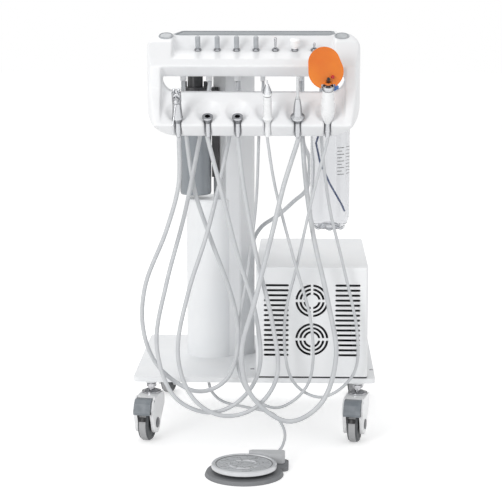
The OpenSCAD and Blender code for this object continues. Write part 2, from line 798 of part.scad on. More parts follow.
// Bent spray nozzle, plugged into the syringe's head
module syringe_nozzle() {
    color("silver") in_holder(0) translate([0, 0, 47]) {
        rotate([90, 0, 0]) translate([0, 0, 5.2]) cylinder(r = 4, h = 7);
        rotate([90, 0, 0]) translate([0, 0, 12.2]) cylinder(r = 4, h = 1.1);
        rotate([90, 0, 0]) translate([0, 0, 13.3]) cylinder(r1 = 6, r2 = 5.2, h = 3);
        translate([0, -17.3, 0]) rotate([0, 9, 0]) rotate([142, 0, 0]) cylinder(r1 = 1.9, r2 = 1.3, h = 46);
        translate([0, -17.3, 0]) sphere(r = 5.2);
    }
}

module syringe_button(side) {
    color("silver") in_holder(0) translate([side * 4.4, 0, 53.6]) {
        cylinder(r = button_bore_r, h = 9);
        translate([0, 0, 9]) cylinder(r1 = 3.4, r2 = 3.8, h = 1.4);
        translate([0, 0, 10.4]) cylinder(r1 = 3.8, r2 = 2.8, h = 1.2);
    }
}

// Bare hose coupling with the four ports of its end face
module coupling(i) {
    color("silver") in_holder(i) difference() {
        union() {
            instrument_foot();
            cylinder(r = collar_r, h = 3);
        }
        translate([0, 0, -7]) cylinder(r = 5.2, h = 12);
        for (a = [45, 135, 225, 315]) rotate(a) translate([2.6, 0, -12]) cylinder(r = 0.9, h = 8, $fn = 16);
    }
}

module scaler() {
    color("white") in_holder(3) {
        instrument_foot();
        rotate_extrude() polygon([
            [0, 0], [collar_r - 0.6, 0], [8.4, 5], [8, 16], [7.8, 48], [8.2, 51], [9.2, 53], [9.2, 56],
                [8.8, 57.5],
            [7.4, 62], [3, 76], [1.4, 78.5], [1.1, 85], [0, 86]
        ]);
    }
}

module suction_valve() {
    color("silver") in_holder(4) difference() {
        union() {
            instrument_foot();
            rotate_extrude() polygon([
                [0, -2], [12.5, -1], [13.4, 0.6], [13.4, 4], [11, 6], [8.6, 8], [7.4, 26], [5.4, 40],
                    [4.6, 44], [0, 44]
            ]);
            for (x = [-1, 1]) translate([x * 5.6 - 1.2, 6, 9]) cube([2.4, 7, 7]);
        }
        translate([0, 0, 20]) cylinder(r = 2.8 + run_gap, h = 30);
        translate([0, 10, 12.5]) rotate([0, 90, 0]) cylinder(r = 1.2 + run_gap, h = 20, center = true);
    }
}

module suction_tip() {
    color("lightcyan") in_holder(4) translate([0, 0, 22]) {
        cylinder(r = 2.8, h = 70);
        translate([0, 0, 22.6]) cylinder(r = 4.6, h = 2);
    }
}

module suction_lever() {
    color("silver") in_holder(4) translate([0, 10, 12.5]) {
        rotate([0, 90, 0]) cylinder(r = 1.2, h = 13, center = true);
        along_x(7.6) polygon([
            [-1.2, -0.8], [0, -1.4], [2.2, -1.8], [5, 4], [4.6, 16], [2.6, 22], [1.4, 21.6], [2.2, 12],
                [-1.3, 2.2], [-1.4, 0]
        ]);
    }
}

guide_r = 4;

module light_body() {
    color("white") in_holder(5) {
        instrument_foot();
        rotate_extrude() polygon([
            [0, 0], [collar_r - 0.6, 0], [11.8, 5], [13.1, 12], [13.5, 20], [12.9, 34], [11.6, 50],
                [10.9, 60], [10.2, 63],
            [10.6, 64.5], [11.6, 66], [11.9, 70], [11.5, 73.4], [10.6, 74], [9.6, 73.4], [8.8, 67.5],
                [5.4, 66],
            [guide_r, 70], [guide_r, 84], [0, 84]
        ]);
        translate([0, 0, 84]) sphere(r = guide_r);
        translate([0, 0, 84]) rotate([42, 0, 0]) cylinder(r1 = guide_r, r2 = 2.8, h = 14);
    }
}

// Oval outline of the eye shield, cut straight at one corner and notched round the light's neck
module shield_shape() {
    difference() {
        union() {
            translate([-4.5, 21]) circle(33, $fn = 72);
            translate([-8, 37]) circle(30, $fn = 72);
            polygon([[-37.5, 21], [-38, 37], [19.2, 49.7], [25.4, 34.9], [28.5, 21]]);
        }
        translate([13, -10.5]) rotate(39) translate([-5, -30]) square([60, 30]);
        translate([-13.2, -43]) square([26.4, 40]);
    }
}

// Orange eye shield, clipped on the light guide
module light_shield() {
    color("orangered") in_holder(5) translate([0, 0, 77.3]) difference() {
        union() {
            cylinder(r = guide_r + 2.5, h = 4);
            rotate([-holder_lean, 0, 0]) translate([0, 1, 2]) rotate([90, 0, 0]) linear_extrude(height = 2)
                shield_shape();
        }
        translate([0, 0, -20]) cylinder(r = guide_r + run_gap, h = 40);
    }
}

// ---------------------------------------------------------------- pedal

module pedal_base() {
    color("dimgray") difference() {
        union() {
            translate([pedal_x, pedal_y, 0]) cylinder(r1 = pedal_base_r, r2 = pedal_base_r - 3,
                h = pedal_base_t, $fn = 96);
            translate([pedal_box_x, pedal_box_y - 10, 0]) rounded_plate(84, pedal_box[1] + 18,
                pedal_base_t, 12);
            translate([pedal_box_x, pedal_box_y, pedal_base_t]) rounded_plate(pedal_box[0],
                pedal_box[1] - 12, pedal_box[2] - pedal_base_t, 8);
            translate([pedal_x, pedal_y, pedal_base_t]) cylinder(r = 20, h = 2.5);
            translate([53, pedal_box_y + pedal_box[1] / 2 - 10, 16]) rotate([-70, 0,
                0]) cylinder(r = pedal_hose_d / 2 + gland_wall, h = 12);
        }
        translate([pedal_x, pedal_y, pedal_z - 3]) cylinder(r = pedal_d / 2 + 1, h = 40, $fn = 96);
        translate([pedal_x, pedal_y, 3]) cylinder(r = 8 + run_gap, h = 20);
    }
}

// Pressed disc with a plain ring pattern and its guide post
module pedal_disc() {
    color("silver") translate([pedal_x, pedal_y, 0]) {
        translate([0, 0, pedal_z + pedal_travel - 3]) rotate_extrude($fn = 96) polygon([
            [0, 3], [pedal_d / 2 - 8, 3], [pedal_d / 2 - 6, 0], [pedal_d / 2 - 1.5, 0], [pedal_d / 2, 1.5],
            [pedal_d / 2, pedal_rim - 2], [pedal_d / 2 - 2, pedal_rim], [pedal_d / 2 - 5, pedal_rim],
            [pedal_d / 2 - 8, pedal_rim - 2], [30, pedal_rim - 3], [28, pedal_rim - 1.6], [24,
                pedal_rim - 1.6],
            [22, pedal_rim - 3], [0, pedal_rim - 3]
        ]);
        translate([0, 0, 3 + pedal_travel + 0.5]) cylinder(r = 8, h = 9);
    }
}

// ---------------------------------------------------------------- hoses

// Point on an instrument's axis, at a distance up from its collar
function holder_point(i, up) =
    [holder_x[i], holder_y - up * sin(holder_lean), holder_z + up * cos(holder_lean)];
function from_front(p) = [p[0], front_y + p[1], p[2]];

module instrument_hose(i) {
    gland = [gland_x[i], front_y + gland_y[i], console_z - gland_len];
    hose(concat(
        [holder_point(i, -neck_len - rest_gap), holder_point(i, -neck_len - 14)],
        [for (p = hose_routes[i]) from_front(p)],
        [gland - [0, 0, 16], gland - [0, 0, rest_gap]]
    ), hose_d[i]);
}

module hose_supply() {
    gland = [supply_gland[0], front_y + supply_gland[1], console_z - gland_len];
    end = [supply_end[0], front_y + supply_end[1], deck_z + gland_len];
    hose(concat(
        [gland - [0, 0, rest_gap], gland - [0, 0, 20]],
        [for (p = supply_route) from_front(p)],
        [end + [0, 0, 20], end + [0, 0, rest_gap]]
    ), supply_d);
}

module hose_pedal() {
    start = [pedal_gland[0], front_y + pedal_gland[1], boss_z + boss_h];
    socket = [53, pedal_box_y + pedal_box[1] / 2 - 10, 16];
    out = [0, sin(70), cos(70)];
    hose(concat(
        [start - [0, 0, rest_gap], start - [0, 0, 14]],
        [for (p = pedal_route) from_front(p)],
        [socket + out * 22, socket + out * (12 + rest_gap)]
    ), pedal_hose_d);
}

// ---------------------------------------------------------------- drawn nodes

base_plate();
caster_stems();
caster_hood(-1, 0);  // caster_hood_fl
caster_hood(1, 0);  // caster_hood_fr
caster_hood(-1, 1);  // caster_hood_rl
caster_hood(1, 1);  // caster_hood_rr
caster_wheel(-1, 0);  // caster_wheel_fl
caster_wheel(1, 0);  // caster_wheel_fr
caster_wheel(-1, 1);  // caster_wheel_rl
caster_wheel(1, 1);  // caster_wheel_rr
brake_lever(-1);  // brake_lever_fl
brake_lever(1);  // brake_lever_fr
column();
pump_cover();
air_tank();
compressor_case();
case_gasket();
compressor_pump();
fan_frames();
fan_rotor(1);  // fan_rotor_upper
fan_rotor(0);  // fan_rotor_lower
head_shell();
head_floor();
tray_mat();
corner_caps();
control_nuts();
water_knob(0);  // water_knob_1
water_knob(1);  // water_knob_2
water_knob(2);  // water_knob_3
water_knob(3);  // water_knob_4
pressure_knob();
toggle(4, 24);  // power_toggle
toggle(6, 13);  // bottle_toggle
waste_bottle();
waste_lid();
water_bottle();
water_cap();
water_tubes();
syringe_body();
syringe_nozzle();
syringe_button(-1);  // syringe_air_button
syringe_button(1);  // syringe_water_button
coupling(1);  // coupling_1
coupling(2);  // coupling_2
scaler();
suction_valve();
suction_tip();
suction_lever();
light_body();
light_shield();
pedal_base();
pedal_disc();
instrument_hose(0);  // hose_syringe
instrument_hose(1);  // hose_handpiece_1
instrument_hose(2);  // hose_handpiece_2
instrument_hose(3);  // hose_scaler
instrument_hose(4);  // hose_suction
instrument_hose(5);  // hose_light
hose_supply();
hose_pedal();
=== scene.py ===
# Portable dental unit on casters: powder coat, soft mouldings, chrome instruments, hoses and clear bottles
import json
import math

import bmesh
import bpy
from mathutils import Matrix, Vector


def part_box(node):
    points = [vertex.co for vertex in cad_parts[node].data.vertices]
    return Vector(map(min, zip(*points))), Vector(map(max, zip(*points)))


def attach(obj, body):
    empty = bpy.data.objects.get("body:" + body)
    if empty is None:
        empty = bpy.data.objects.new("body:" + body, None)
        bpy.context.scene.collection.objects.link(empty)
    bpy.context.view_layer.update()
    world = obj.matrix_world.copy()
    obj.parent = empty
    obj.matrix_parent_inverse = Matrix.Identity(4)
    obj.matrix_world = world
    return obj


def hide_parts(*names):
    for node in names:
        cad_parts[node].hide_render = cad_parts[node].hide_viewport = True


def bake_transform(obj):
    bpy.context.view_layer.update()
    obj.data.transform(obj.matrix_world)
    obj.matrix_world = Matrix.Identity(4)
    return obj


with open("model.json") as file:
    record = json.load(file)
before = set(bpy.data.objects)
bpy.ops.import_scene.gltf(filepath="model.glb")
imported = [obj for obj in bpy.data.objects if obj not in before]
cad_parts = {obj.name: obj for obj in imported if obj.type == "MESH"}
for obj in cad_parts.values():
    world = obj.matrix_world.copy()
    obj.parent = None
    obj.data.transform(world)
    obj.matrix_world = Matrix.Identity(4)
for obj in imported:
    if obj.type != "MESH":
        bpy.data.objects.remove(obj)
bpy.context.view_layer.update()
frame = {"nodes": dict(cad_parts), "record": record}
mm = 0.001  # holders, hoses, casters and small parts are given in millimetres, all else in metres
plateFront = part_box("base_plate")[0].y
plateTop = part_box("base_plate")[1].z
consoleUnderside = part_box("column")[1].z
print("frame loaded, plate front at", round(plateFront, 4))

camera = {
    "place": (0.0917, -3.1761, 0.9104), "yaw": 1.799, "pitch": -9.367,
    "lens": 113.25, "sensor": 36, "clip": (0.05, 60),
}
light = {
    "world": 0.7,
    "aim": (0, 0, 0.45),
    "key": {"place": (-2.0, -3.0, 1.3), "size": 1.8, "power": 44},
    "fill": {"place": (2.4, -2.6, 0.9), "size": 2.0, "power": 14},
    "back": {"place": (-0.6, 1.6, 2.6), "size": 1.6, "power": 16},
}


def setCamera():
    data = bpy.data.cameras.new("camera")
    data.lens = camera["lens"]
    data.sensor_width = camera["sensor"]
    data.clip_start, data.clip_end = camera["clip"]
    view = bpy.data.objects.new("camera", data)
    view.location = camera["place"]
    turn = Matrix.Rotation(math.radians(camera["yaw"]), 4, "Z")
    tilt = Matrix.Rotation(math.radians(90 + camera["pitch"]), 4, "X")
    view.rotation_euler = (turn @ tilt).to_euler()
    bpy.context.scene.collection.objects.link(view)
    bpy.context.scene.camera = view


def addLamp(name, facts):
    data = bpy.data.lights.new(name, "AREA")
    data.shape = "DISK"
    data.size = facts["size"]
    data.energy = facts["power"]
    lamp = bpy.data.objects.new(name, data)
    lamp.location = facts["place"]
    aim = Vector(light["aim"]) - Vector(facts["place"])
    lamp.rotation_euler = aim.to_track_quat("-Z", "Y").to_euler()
    bpy.context.scene.collection.objects.link(lamp)


setCamera()
for lampName in ("key", "fill", "back"):
    addLamp(lampName, light[lampName])
bpy.context.scene.view_settings.view_transform = "Standard"
print("camera and lamps ready")


class Flow:
    # one output of a shader node, so that sums can be written as sums
    def __init__(self, paint, socket):
        self.paint = paint
        self.socket = socket

    def sum(self, operation, first, second=None):
        return self.paint.node("ShaderNodeMath", {"operation": operation}, {0: first, 1: second})

    def __add__(self, other):
        return self.sum("ADD", self, other)

    def __radd__(self, other):
        return self.sum("ADD", other, self)

    def __sub__(self, other):
        return self.sum("SUBTRACT", self, other)

    def __rsub__(self, other):
        return self.sum("SUBTRACT", other, self)

    def __mul__(self, other):
        return self.sum("MULTIPLY", self, other)

    def __rmul__(self, other):
        return self.sum("MULTIPLY", other, self)

    def __gt__(self, other):
        return self.sum("GREATER_THAN", self, other)

    def __lt__(self, other):
        return self.sum("LESS_THAN", self, other)

    def __abs__(self):
        return self.sum("ABSOLUTE", self)

    def __or__(self, other):
        # where one mask or the other is 1
        return self.sum("MAXIMUM", self, other)


class NodeTree:
    # the nodes of a material or of the world
    def __init__(self, tree):
        self.tree = tree

    def feed(self, socket, value):
        if isinstance(value, Flow):
            self.tree.links.new(value.socket, socket)
        elif value is not None:
            socket.default_value = value

    def node(self, kind, settings=None, inputs=None, output=0):
        made = self.tree.nodes.new(kind)
        for key, value in (settings or {}).items():
            if key == "stops":
                self.setStops(made, value)
            else:
                setattr(made, key, value)
        for key, value in (inputs or {}).items():
            self.feed(made.inputs[key], value)
        return Flow(self, made.outputs[output])

    def setStops(self, ramp, stops):
        elements = ramp.color_ramp.elements
        while len(elements) < len(stops):
            elements.new(0.5)
        for element, (place, grey) in zip(elements, stops):
            element.position = place
            element.color = (grey, grey, grey, 1)

    def seesBackdrop(self):
        # 1 where the camera, a mirror or clear plastic looks at the backdrop
        rays = self.tree.nodes.new("ShaderNodeLightPath")
        names = ("Is Camera Ray", "Is Glossy Ray", "Is Transmission Ray")
        looking, mirrored, through = [Flow(self, rays.outputs[name]) for name in names]
        return looking | (mirrored | through)


def opaque(colour):
    return (*colour, 1) if isinstance(colour, tuple) else colour


class Paint(NodeTree):
    # a material and the few ways in which this object's finishes are put together
    def __init__(self, name, colour, roughness, metallic=0.0, **fixed):
        self.material = bpy.data.materials.new(name)
        self.material.use_nodes = True
        self.tree = self.material.node_tree
        self.shader = self.tree.nodes["Principled BSDF"]
        self.output = self.tree.nodes["Material Output"]
        self.material.diffuse_color = opaque(colour)
        self.set("Base Color", opaque(colour))
        self.set("Roughness", roughness)
        self.set("Metallic", metallic)
        for key, value in fixed.items():
            self.set(key.replace("_", " "), value)

    def set(self, name, value):
        self.feed(self.shader.inputs[name], value)

    def place(self, stretch=(1, 1, 1)):
        where = self.node("ShaderNodeTexCoord", output="Object")
        return self.node("ShaderNodeMapping", None, {"Vector": where, "Scale": stretch})

    def noise(self, scale, detail=3.0, stretch=(1, 1, 1)):
        inputs = {"Vector": self.place(stretch), "Scale": scale, "Detail": detail}
        return self.node("ShaderNodeTexNoise", None, inputs, "Fac")

    def ramp(self, value, stops):
        return self.node("ShaderNodeValToRGB", {"stops": stops}, {"Fac": value})

    def mix(self, share, first, second):
        settings = {"data_type": "RGBA", "clamp_factor": True}
        return self.node("ShaderNodeMix", settings, {0: share, 6: opaque(first), 7: opaque(second)}, 2)

    def mottle(self, scale, colour, other):
        # a colour that wanders softly into another
        return self.mix(self.noise(scale), colour, other)

    def tint(self, colour, other, scale, detail=3.0, stretch=(1, 1, 1)):
        # the same with clearer patches, put on the surface
        share = self.ramp(self.noise(scale, detail, stretch), [(0.35, 0), (0.65, 1)])
        self.set("Base Color", self.mix(share, colour, other))

    def roughen(self, low, high, scale, detail=3.0, stretch=(1, 1, 1)):
        self.set("Roughness", low + (high - low) * self.noise(scale, detail, stretch))

    def bump(self, scale, detail, strength, distance):
        inputs = {"Strength": strength, "Distance": distance, "Height": self.noise(scale, detail)}
        self.set("Normal", self.node("ShaderNodeBump", None, inputs))

    def vectors(self, operation, first, second, output=0):
        return self.node("ShaderNodeVectorMath", {"operation": operation}, {0: first, 1: second}, output)

    def along(self, point, axis):
        # distance from a point along an axis, in metres
        return self.vectors("DOT_PRODUCT", self.vectors("SUBTRACT", self.place(), point), axis, "Value")

    def around(self, point, axis):
        # distance from an axis, in metres
        across = self.vectors("CROSS_PRODUCT", self.vectors("SUBTRACT", self.place(), point), axis)
        return self.vectors("LENGTH", across, None, "Value")

    def edged(self, colour, paintedRimDark, start, end):
        # painted shade: a colour that turns dark towards the outline, and on shiny things a painted
        # reflection of a dark room
        facing = self.node("ShaderNodeLayerWeight", None, {"Blend": 0.5}, "Facing")
        return self.mix(self.ramp(facing, [(start, 0), (end, 1)]), colour, paintedRimDark)

    def polish(self, bright, paintedRimDark, start, end):
        # mottled metal whose outline gets a painted dark reflection
        worn = tuple(0.93 * part for part in bright)
        colour = self.edged(self.mottle(160, bright, worn), paintedRimDark, start, end)
        self.set("Base Color", colour)
        return colour


studio = {
    "half": 14, "low": -0.0005, "floor": 0.86, "rough": 0.95, "glow": 0.42,
    "flag": {"across": 1.3, "high": 1.5, "away": (1.55, -1.35), "foot": 0.15, "cloth": (0.02, 0.02, 0.02)},
}
backdropWhite = (1, 1, 1, 1)


def addFlat(name, corners, finish):
    mesh = bpy.data.meshes.new(name)
    mesh.from_pydata(corners, [], [(0, 1, 2, 3)])
    mesh.materials.append(finish)
    plane = bpy.data.objects.new(name, mesh)
    bpy.context.scene.collection.objects.link(plane)
    return plane


def paintFloor():
    # the floor keeps the shadow, and away from it reads as the white backdrop
    floor = Paint("studioFloor", (studio["floor"],) * 3, studio["rough"])
    floor.set("Specular IOR Level", 0.0)
    lit = Flow(floor, floor.shader.outputs[0])
    glow = floor.node("ShaderNodeEmission", None, {"Color": backdropWhite, "Strength": studio["glow"]})
    both = floor.node("ShaderNodeAddShader", None, {0: lit, 1: glow})
    mixed = floor.node("ShaderNodeMixShader", None, {0: floor.seesBackdrop(), 1: lit, 2: both})
    floor.feed(floor.output.inputs["Surface"], mixed)
    half, low = studio["half"], studio["low"]
    corners = [(-half, -half, low), (half, -half, low), (half, half, low), (-half, half, low)]
    addFlat("floor", corners, floor.material)


def paintWorld():
    world = bpy.data.worlds.new("studio")
    bpy.context.scene.world = world
    world.use_nodes = True
    room = NodeTree(world.node_tree)
    sky = room.tree.nodes["Background"]
    room.feed(sky.inputs["Color"], backdropWhite)
    room.feed(sky.inputs["Strength"], light["world"])
    white = room.node("ShaderNodeBackground", None, {"Color": backdropWhite})
    inputs = {0: room.seesBackdrop(), 1: Flow(room, sky.outputs[0]), 2: white}
    mixed = room.node("ShaderNodeMixShader", None, inputs)
    room.feed(room.tree.nodes["World Output"].inputs["Surface"], mixed)


def addFlags():
    # two dark cloths beside the camera, seen only by the bright metal, whose edges they draw
    flag = studio["flag"]
    cloth = Paint("blackCloth", flag["cloth"], 0.9)
    for side in (-1, 1):
        x, y = side * flag["away"][0], flag["away"][1]
        near, far = y - flag["across"] / 2, y + flag["across"] / 2
        low, high = flag["foot"], flag["foot"] + flag["high"]
        corners = [(x, near, low), (x, far, low), (x, far, high), (x, near, high)]
        plane = addFlat("flag", corners, cloth.material)
        plane.visible_camera = False
        plane.visible_diffuse = False
        plane.visible_shadow = False


paintFloor()
paintWorld()
addFlags()
print("studio ready")


# each finish "is" a material name, a colour, a roughness and for metals how metallic it is;
# "tint" and "mottle" hold two colours and their grain, "rough" a range and its grain,
# "bump" grain, detail, strength and height, and the rim entry the dark painted at the outline (painted shade,
# and on metal a painted reflection) and where it starts and ends
plainFinishes = {
    "white_painted": {"is": ("powderCoat", (0.86, 0.87, 0.88), 0.42), "coat": 0.15,
                      "tint": ((0.86, 0.87, 0.88), (0.83, 0.845, 0.86), 9),
                      "rough": (0.36, 0.5, 40), "bump": (900, 2, 0.18, 0.0003)},
    "white_moulding": {"is": ("whiteMoulding", (0.88, 0.885, 0.895), 0.42), "coat": 0.08,
                       "tint": ((0.885, 0.89, 0.9), (0.86, 0.87, 0.885), 7),
                       "rough": (0.36, 0.5, 22), "bump": (1400, 2, 0.08, 0.0002)},
    "white_plastic": {"is": ("whitePlastic", (0.88, 0.885, 0.89), 0.28), "coat": 0.4,
                      "tint": ((0.885, 0.89, 0.895), (0.85, 0.86, 0.87), 60), "rough": (0.22, 0.36, 90)},
    "caster_shell": {"is": ("casterShell", (0.9, 0.905, 0.91), 0.34), "coat": 0.2,
                     "tint": ((0.93, 0.935, 0.94), (0.88, 0.885, 0.895), 30), "bump": (1500, 2, 0.1, 0.0002)},
    "brake_grey": {"is": ("brakeGrey", (0.2, 0.22, 0.24), 0.45),
                   "tint": ((0.22, 0.24, 0.26), (0.16, 0.18, 0.2), 60), "bump": (1500, 2, 0.15, 0.0002)},
    "column_grey": {"is": ("columnAluminium", (0.7, 0.71, 0.72), 0.42, 0.35),
                    "tint": ((0.74, 0.75, 0.76), (0.68, 0.69, 0.705), 24, 2, (1, 1, 0.02)),
                    "rough": (0.36, 0.5, 60, 2, (1, 1, 0.02))},
    "tank": {"is": ("tankPaint", (0.68, 0.7, 0.72), 0.4),
             "tint": ((0.7, 0.72, 0.74), (0.64, 0.66, 0.69), 20)},
    "black_rubber": {"is": ("blackRubber", (0.025, 0.025, 0.027), 0.6),
                     "tint": ((0.03, 0.03, 0.032), (0.018, 0.018, 0.02), 40)},
    "pump_iron": {"is": ("castMetal", (0.24, 0.25, 0.27), 0.6, 0.5),
                  "tint": ((0.27, 0.28, 0.3), (0.18, 0.19, 0.21), 30), "bump": (300, 4, 0.4, 0.0008)},
    "fan_black": {"is": ("fanPlastic", (0.035, 0.035, 0.04), 0.45),
                  "tint": ((0.04, 0.04, 0.045), (0.025, 0.025, 0.03), 60)},
    "grey_mat": {"is": ("siliconeMat", (0.3, 0.32, 0.34), 0.7),
                 "tint": ((0.33, 0.35, 0.37), (0.27, 0.29, 0.31), 30), "bump": (900, 2, 0.3, 0.0004)},
    "grey_plastic": {"is": ("greyPlastic", (0.42, 0.44, 0.46), 0.42),
                     "tint": ((0.45, 0.47, 0.49), (0.38, 0.4, 0.42), 90), "bump": (1500, 2, 0.12, 0.0002)},
    "black_plastic": {"is": ("blackPlastic", (0.03, 0.03, 0.033), 0.35),
                      "tint": ((0.035, 0.035, 0.038), (0.02, 0.02, 0.022), 50)},
    "blue_plastic": {"is": ("blueCap", (0.06, 0.2, 0.55), 0.35),
                     "tint": ((0.07, 0.22, 0.58), (0.045, 0.16, 0.48), 80)},
    "tyre": {"is": ("tyreRubber", (0.38, 0.385, 0.39), 0.6),
             "tint": ((0.42, 0.42, 0.43), (0.35, 0.355, 0.36), 45)},
    "tube_clear": {"is": ("pickupTube", (0.16, 0.2, 0.33), 0.3),
                   "tint": ((0.18, 0.22, 0.35), (0.12, 0.16, 0.28), 60)},
    "orange_shield": {"is": ("orangeShield", (0.9, 0.24, 0.02), 0.18), "clear": 0.25,
                      "tint": ((0.92, 0.26, 0.02), (0.84, 0.2, 0.015), 14)},
    "hose_grey": {"is": ("greyHose", (0.56, 0.575, 0.59), 0.38), "coat": 0.2,
                  "tint": ((0.58, 0.595, 0.61), (0.53, 0.545, 0.565), 30), "rough": (0.32, 0.46, 60)},
    "print_grey": {"is": ("scalePrint", (0.2, 0.205, 0.21), 0.5),
                   "tint": ((0.23, 0.235, 0.24), (0.17, 0.175, 0.18), 300)},
    "clip_red": {"is": ("clipRed", (0.6, 0.02, 0.03), 0.3),
                 "tint": ((0.62, 0.025, 0.035), (0.5, 0.015, 0.02), 200)},
    "axle_grey": {"is": ("axleCover", (0.16, 0.165, 0.175), 0.4),
                  "tint": ((0.18, 0.185, 0.195), (0.13, 0.135, 0.145), 80)},
}
# on these metals the rim entry paints a dark reflection at the outline
shinyFinishes = {
    "caster_metal": {"is": ("chromePlate", (0.6, 0.6, 0.62), 0.15, 1.0),
                     "edge": ((0.12, 0.12, 0.13), 0.25, 0.75), "rough": (0.1, 0.26, 120)},
    "bright_metal": {"is": ("polishedSteel", (0.62, 0.63, 0.65), 0.2, 1.0),
                     "edge": ((0.1, 0.1, 0.11), 0.25, 0.75), "rough": (0.16, 0.3, 260)},
}
# on these clear plastics the rim entry paints shade darkening the outline
clearFinishes = {
    "dark_clear": {"is": ("smokedPlastic", (0.4, 0.43, 0.46), 0.14), "clear": 0.35, "ior": 1.46,
                   "mottle": (20, (0.42, 0.45, 0.48), (0.36, 0.39, 0.42)),
                   "edge": ((0.12, 0.13, 0.145), 0.45, 0.95)},
    "clear_plastic": {"is": ("clearBottle", (0.84, 0.845, 0.855), 0.05), "clear": 1.0, "ior": 1.3,
                      "mottle": (12, (0.85, 0.855, 0.865), (0.82, 0.825, 0.84)),
                      "edge": ((0.6, 0.62, 0.65), 0.6, 1.0)},
}


def mixPlain(facts):
    paint = Paint(*facts["is"])
    if "coat" in facts:
        paint.set("Coat Weight", facts["coat"])
    if "clear" in facts:
        paint.set("Transmission Weight", facts["clear"])
    paint.tint(*facts["tint"])
    if "rough" in facts:
        paint.roughen(*facts["rough"])
    if "bump" in facts:
        paint.bump(*facts["bump"])
    return paint.material


def mixShiny(facts):
    paint = Paint(*facts["is"])
    # mottled metal with a painted dark reflection at its outline
    paint.polish(facts["is"][1], *facts["edge"])
    paint.roughen(*facts["rough"])
    return paint.material


def mixClear(facts):
    paint = Paint(*facts["is"], Transmission_Weight=facts["clear"], IOR=facts["ior"])
    # painted shade towards the outline
    paint.set("Base Color", paint.edged(paint.mottle(*facts["mottle"]), *facts["edge"]))
    return paint.material


upright = (0.0, 0.0, 1.0)
pedal = {
    "centre": (-0.012, -0.29077, 0.0),
    "rubber": ("pedalRubber", (0.2, 0.205, 0.215), 0.6), "bump": (700, 3, 0.2, 0.0004),
    "sole": (40, (0.23, 0.235, 0.245), (0.18, 0.185, 0.195)), "soleTop": 0.0085,
    "box": (60, (0.55, 0.56, 0.57), (0.49, 0.5, 0.515)),
    "metal": ("pedalSteel", (0.6, 0.61, 0.62), 0.3, 1.0), "rough": (0.22, 0.4, 200),
    "steel": (60, (0.68, 0.69, 0.7), (0.56, 0.57, 0.59)),
    "ink": (0.16, 0.165, 0.17), "metallic": (0.85, 0.4),  # of bare steel, and how much less on the drawing
    "groove": 0.0535, "grooveHalf": 0.0012,
    "drawing": 0.049, "line": 0.16, "faint": 0.8,
    "waves": {"Scale": 26, "Distortion": 7, "Detail": 2, "Detail Scale": 3},
}


def mixPedalRubber():
    # a dark sole, and above it the grey valve box
    rubber = Paint(*pedal["rubber"])
    sole, box = rubber.mottle(*pedal["sole"]), rubber.mottle(*pedal["box"])
    rubber.set("Base Color", rubber.mix(rubber.along((0, 0, 0), upright) > pedal["soleTop"], sole, box))
    rubber.bump(*pedal["bump"])
    return rubber.material


def mixPedalSteel():
    # a groove inside the rim, and a plain engraving of wavy lines
    disc = Paint(*pedal["metal"])
    out = disc.around(pedal["centre"], upright)
    groove = abs(out - pedal["groove"]) < pedal["grooveHalf"]
    settings = {"wave_type": "RINGS", "rings_direction": "Z"}
    waves = disc.node("ShaderNodeTexWave", settings, {"Vector": disc.place(), **pedal["waves"]}, "Fac")
    lines = disc.ramp(waves, [(0.0, 1), (pedal["line"], 0), (1.0, 0)]) * (out < pedal["drawing"])
    drawn = groove | pedal["faint"] * lines
    bare, less = pedal["metallic"]
    disc.set("Base Color", disc.mix(drawn, disc.mottle(*pedal["steel"]), pedal["ink"]))
    disc.set("Metallic", bare - less * drawn)
    disc.roughen(*pedal["rough"])
    return disc.material


finishes = {slot: mixPlain(facts) for slot, facts in plainFinishes.items()}
finishes.update({slot: mixShiny(facts) for slot, facts in shinyFinishes.items()})
finishes.update({slot: mixClear(facts) for slot, facts in clearFinishes.items()})
finishes.update({"pedal_rubber": mixPedalRubber(), "pedal_metal": mixPedalSteel()})


def dress(piece, finish):
    piece.data.materials.clear()
    piece.data.materials.append(finish)
    for face in piece.data.polygons:
        face.material_index = 0


for part in frame["record"]["subparts"]:
    dress(frame["nodes"][part["node"]], finishes[part["material_slot"]])
print("finishes ready:", len(finishes))


# the row of holders: each instrument stands in one, leaning towards the dentist
holder = {"pitch": 57.3, "middle": 2.5, "back": -97, "down": 75.6, "lean": math.radians(30), "neck": 42}
holderAxis = (0.0, -math.sin(holder["lean"]), math.cos(holder["lean"]))


def fromFront(x, y, z):
    # millimetres from the middle of the plate's front edge, and up from the floor
    return Vector((x * mm, plateFront + y * mm, z * mm))


def holderPoint(index, height):
    # a point on an instrument's axis, at a height in millimetres above its collar
    x = (index - holder["middle"]) * holder["pitch"]
    y = holder["back"] - height * math.sin(holder["lean"])
    z = consoleUnderside / mm - holder["down"] + height * math.cos(holder["lean"])
    return fromFront(x, y, z)


# lengths on a finish are in metres, as the shader measures them
wheel = {"lean": -12, "colour": (0.38, 0.385, 0.39), "rough": 0.55, "bump": (700, 3, 0.2, 0.0004),
         "tread": (90, (0.42, 0.42, 0.43), (0.35, 0.355, 0.36)), "treadHalf": 0.0068,
         "flankShade": (0.075, 0.08, 0.085)}
# bright steel, whose rim entry paints a dark reflection at its outline
steelTool = {"colour": (0.62, 0.63, 0.65), "edge": ((0.08, 0.08, 0.09), 0.2, 0.7)}
coupling = {"is": (steelTool["colour"], 0.2, 1.0), "rough": (0.16, 0.3, 260), "mouth": 0.0054, "deep": -0.014,
            "inside": (0.01, 0.01, 0.012)}
handle = {"is": ((0.88, 0.885, 0.89), 0.28), "white": (60, (0.885, 0.89, 0.895), (0.85, 0.86, 0.87))}
curingLight = {"holder": 5, "cup": 0.0635, "guide": 0.0742, "neck": -0.011,
               "black": (0.015, 0.015, 0.017), "rough": (0.22, 0.34, 90)}
